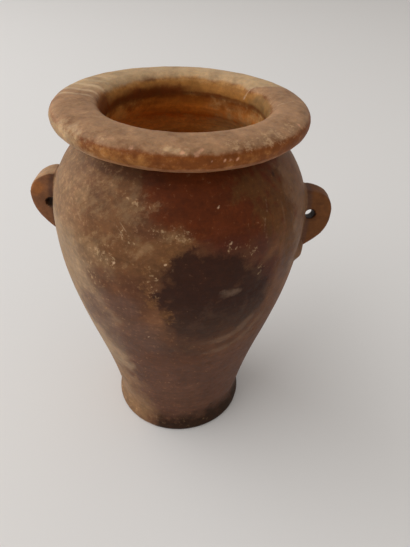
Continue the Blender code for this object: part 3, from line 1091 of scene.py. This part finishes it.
class Stone:
    """Shorthand for building the material's nodes."""

    def __init__(self, material):
        material.use_nodes = True
        self.tree = material.node_tree
        self.shader = self.tree.nodes["Principled BSDF"]
        self.place = self.tree.nodes.new("ShaderNodeTexCoord").outputs["Object"]

    def feed(self, socket, value):
        if isinstance(value, bpy.types.NodeSocket):
            self.tree.links.new(value, socket)
        else:
            socket.default_value = value

    def grain(self, size, detail, roughness, place=None):
        """Noise from 0 to 1 with lumps of a size in millimetres."""
        node = self.tree.nodes.new("ShaderNodeTexNoise")
        self.feed(node.inputs["Vector"], place or self.place)
        node.inputs["Scale"].default_value = 1 / (size * MM)
        node.inputs["Detail"].default_value = detail
        node.inputs["Roughness"].default_value = roughness
        return node.outputs[0]

    def waves(self, pitch, place):
        """Wavy lines from 0 to 1 that lie a pitch in millimetres apart along Y."""
        node = self.tree.nodes.new("ShaderNodeTexWave")
        node.bands_direction = "Y"
        self.feed(node.inputs["Vector"], place)
        node.inputs["Scale"].default_value = WAVE_PERIOD / (pitch * MM)
        node.inputs["Distortion"].default_value = 5.0
        node.inputs["Detail"].default_value = 3.0
        node.inputs["Detail Scale"].default_value = 0.35
        return node.outputs["Fac"]

    def turned_place(self, turn, scale, kind="POINT"):
        """Object coordinates that are scaled and then turned by three angles.

        Of the kind TEXTURE they are turned first, and the grain itself is stretched.
        """
        node = self.tree.nodes.new("ShaderNodeMapping")
        node.vector_type = kind
        self.feed(node.inputs["Vector"], self.place)
        node.inputs["Rotation"].default_value = [math.radians(angle) for angle in turn]
        node.inputs["Scale"].default_value = scale
        return node.outputs[0]

    def mask(self, name):
        node = self.tree.nodes.new("ShaderNodeAttribute")
        node.attribute_name = name
        return node.outputs["Fac"]

    def maths(self, operation, first, second):
        node = self.tree.nodes.new("ShaderNodeMath")
        node.operation = operation
        self.feed(node.inputs[0], first)
        self.feed(node.inputs[1], second)
        return node.outputs[0]

    def rise(self, value, low, high, top=1.0):
        """0 below low, top above high and an even rise between."""
        node = self.tree.nodes.new("ShaderNodeMapRange")
        node.interpolation_type = "SMOOTHSTEP"
        self.feed(node.inputs["Value"], value)
        node.inputs["From Min"].default_value = low
        node.inputs["From Max"].default_value = high
        node.inputs["To Max"].default_value = top
        return node.outputs[0]

    def blend(self, share, first, second, kind="MIX"):
        node = self.tree.nodes.new("ShaderNodeMix")
        node.data_type = "RGBA"
        node.blend_type = kind
        self.feed(node.inputs[0], share)
        self.feed(node.inputs[6], first)
        self.feed(node.inputs[7], second)
        return node.outputs[2]

    def broken(self, share, grain, amount):
        """A mask whose edges and middle are broken up by a grain."""
        centred = self.maths("SUBTRACT", grain, 0.5)
        return self.maths("ADD", share, self.maths("MULTIPLY", centred, amount))

    def vector(self, operation, first, second, output=0):
        node = self.tree.nodes.new("ShaderNodeVectorMath")
        node.operation = operation
        self.feed(node.inputs[0], first)
        self.feed(node.inputs["Scale" if operation == "SCALE" else 1], second)
        return node.outputs[output]

    def scratch(self, start, end, width):
        """1 on the straight line between two points, 0 further off than the width."""
        along = end - start
        off_start = self.vector("SUBTRACT", self.place, start)
        reach = self.vector("DOT_PRODUCT", off_start, along.normalized(), "Value")
        reach = self.maths("MAXIMUM", self.maths("MINIMUM", reach, along.length), 0.0)
        on_line = self.vector("SCALE", along.normalized(), reach)
        away = self.vector("DISTANCE", off_start, on_line, "Value")
        return self.rise(away, width, width / 4)


def tone(red, green, blue):
    """A display colour, 0 to 255, as the linear colour that a shader takes."""
    shares = [value / 255 for value in (red, green, blue)]
    linear = [
        share / 12.92 if share <= 0.04045 else ((share + 0.055) / 1.055) ** 2.4
        for share in shares
    ]
    return (*linear, 1.0)


def grey(value):
    return (value, value, value, 1.0)


def make_stone():
    """Brown banded calcite, with its tones laid over each other by the masks, among them
    painted shade, sheen and a highlight.
    """
    material = bpy.data.materials.new("banded_calcite")
    stone = Stone(material)
    grains = {name: stone.grain(*values) for name, values in GRAINS.items()}
    grains["veins"] = stone.waves(4.6, stone.turned_place((0, 0, 19), (1, 1, 1)))
    level_place = stone.turned_place((2, 3, 0), (0.2, 0.2, 1.6))
    grains["rings"] = stone.grain(9, 4, 0.6, level_place)
    turning_place = stone.turned_place((1, 2, 0), (0.3, 0.3, 2.2))
    turning_marks = stone.grain(3.0, 6, 0.7, turning_place)
    upright_place = stone.turned_place((0, 0, 0), (1.4, 1.4, 0.3))
    grains["brushed"] = stone.grain(3.0, 5, 0.6, upright_place)
    slanting_place = stone.turned_place((0, -48, -40), (4, 1, 1), "TEXTURE")
    grains["streaks"] = stone.grain(3.0, 6, 0.66, slanting_place)
    clouds = stone.rise(grains["cloud"], 0.36, 0.64)
    colour = stone.blend(clouds, *(tone(*shade) for shade in BARE_STONE))
    for name, shade, top, grain, amount, low, high in LAYERS:
        mask = stone.mask(name)
        present = stone.rise(mask, 0.0, 0.15)
        share = stone.broken(mask, grains[grain], amount)
        share = stone.maths("MULTIPLY", stone.rise(share, low, high, top), present)
        colour = stone.blend(share, colour, tone(*shade))
    for start, end, width, strength in SCRATCHES:
        ends = [Vector(place_on_wall(*place)) * MM for place in (start, end)]
        share = stone.scratch(*ends, width * MM)
        unbroken = stone.rise(grains["grit"], 0.35, 0.6, strength)
        share = stone.maths("MULTIPLY", share, unbroken)
        colour = stone.blend(share, colour, tone(*SCRATCHED_STONE))
    for grain, strength in (("fleck", 0.55), ("grit", 0.40)):
        shading = stone.blend(stone.rise(grains[grain], 0.25, 0.75), grey(0.6), grey(1.4))
        colour = stone.blend(strength, colour, shading, "MULTIPLY")
    shading = stone.blend(stone.rise(turning_marks, 0.3, 0.7), grey(0.75), grey(1.25))
    colour = stone.blend(0.35, colour, shading, "MULTIPLY")
    stone.feed(stone.shader.inputs["Base Color"], colour)
    roughness = stone.maths("ADD", stone.rise(grains["grit"], 0.3, 0.7, 0.2), 0.46)
    stone.feed(stone.shader.inputs["Roughness"], roughness)
    bump = stone.tree.nodes.new("ShaderNodeBump")
    bump.inputs["Strength"].default_value = 0.45
    bump.inputs["Distance"].default_value = 0.2 * MM
    fine_relief = stone.blend(0.5, grains["grit"], grains["dots"])
    relief = stone.blend(0.35, fine_relief, turning_marks)
    stone.feed(bump.inputs["Height"], relief)
    stone.feed(stone.shader.inputs["Normal"], bump.outputs[0])
    stone.shader.inputs["Specular IOR Level"].default_value = 0.12
    stone.shader.inputs["Subsurface Weight"].default_value = 0.16
    stone.shader.inputs["Subsurface Radius"].default_value = (1.0, 0.4, 0.15)
    stone.shader.inputs["Subsurface Scale"].default_value = 3 * MM
    return material


def make_jar(outline):
    """The whole jar: made from the solid's outline, worn, masked and given its stone."""
    neck = int(np.argmax(outline[:, 1] > NECK_HEIGHT - 0.05))
    outer = outline[: neck + 1]

    def wall_radius(height):
        return np.interp(height, outer[:, 1], outer[:, 0])

    mesh = joined_mesh(finer_outline(outline), wall_radius)
    ease_joints(mesh, wall_radius)
    skin = read_skin(mesh, wall_radius)
    masks = make_masks(skin)
    give_masks(mesh, masks)
    wear(mesh, skin, masks["crust"])
    set_points(mesh, get_points(mesh) * MM)
    mesh.shade_smooth()
    mesh.materials.clear()
    mesh.materials.append(make_stone())
    jar = new_object("amphoriskos", mesh)
    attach(jar, "root")
    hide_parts("vessel")


def add_camera():
    """The camera that took the photograph, from its fitted place and turn."""
    focal_pixels = 482.0
    frame_height = 547
    pitch = 0.6491
    roll = 0.0484
    place = Vector((9.744, -150.894, 178.8546))
    camera_data = bpy.data.cameras.new("camera")
    camera_data.sensor_width = 36.0
    camera_data.lens = focal_pixels / frame_height * camera_data.sensor_width
    camera_data.clip_start = 0.01
    camera = new_object("camera", camera_data)
    ahead = Vector((0, math.cos(pitch), -math.sin(pitch)))
    right = Vector((1, 0, 0))
    up = Vector((0, math.sin(pitch), math.cos(pitch)))
    turned_right = math.cos(roll) * right + math.sin(roll) * up
    turned_up = math.cos(roll) * up - math.sin(roll) * right
    turn = Matrix((turned_right, turned_up, -ahead)).transposed().to_4x4()
    camera.matrix_world = Matrix.Translation(place * MM) @ turn
    bpy.context.scene.camera = camera


def add_floor():
    """A plain pale floor, wide enough to fill the picture."""
    bpy.ops.mesh.primitive_plane_add(size=6)
    floor = bpy.context.object
    floor.name = "floor"
    material = bpy.data.materials.new("pale_floor")
    material.use_nodes = True
    shader = material.node_tree.nodes["Principled BSDF"]
    shader.inputs["Base Color"].default_value = (0.80, 0.792, 0.78, 1)
    shader.inputs["Roughness"].default_value = 0.8
    floor.data.materials.append(material)


def add_light():
    """Soft light of a pale room, and a wide window at the left."""
    world = bpy.data.worlds.new("pale_room")
    bpy.context.scene.world = world
    world.use_nodes = True
    background = world.node_tree.nodes["Background"]
    background.inputs["Color"].default_value = (1, 0.955, 0.915, 1)
    background.inputs["Strength"].default_value = 0.50
    light_data = bpy.data.lights.new("window", "AREA")
    light_data.shape = "RECTANGLE"
    light_data.size = 2.4
    light_data.size_y = 1.9
    light_data.energy = 19.5
    light = new_object("window", light_data)
    place = Vector((-1.1, -0.15, 0.9))
    middle_of_jar = Vector((0, 0, 0.05))
    light.location = place
    light.rotation_euler = (middle_of_jar - place).to_track_quat("-Z", "Y").to_euler()


make_jar(read_outline(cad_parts["vessel"]))
add_camera()
add_floor()
add_light()
bpy.context.scene.view_settings.view_transform = "Standard"
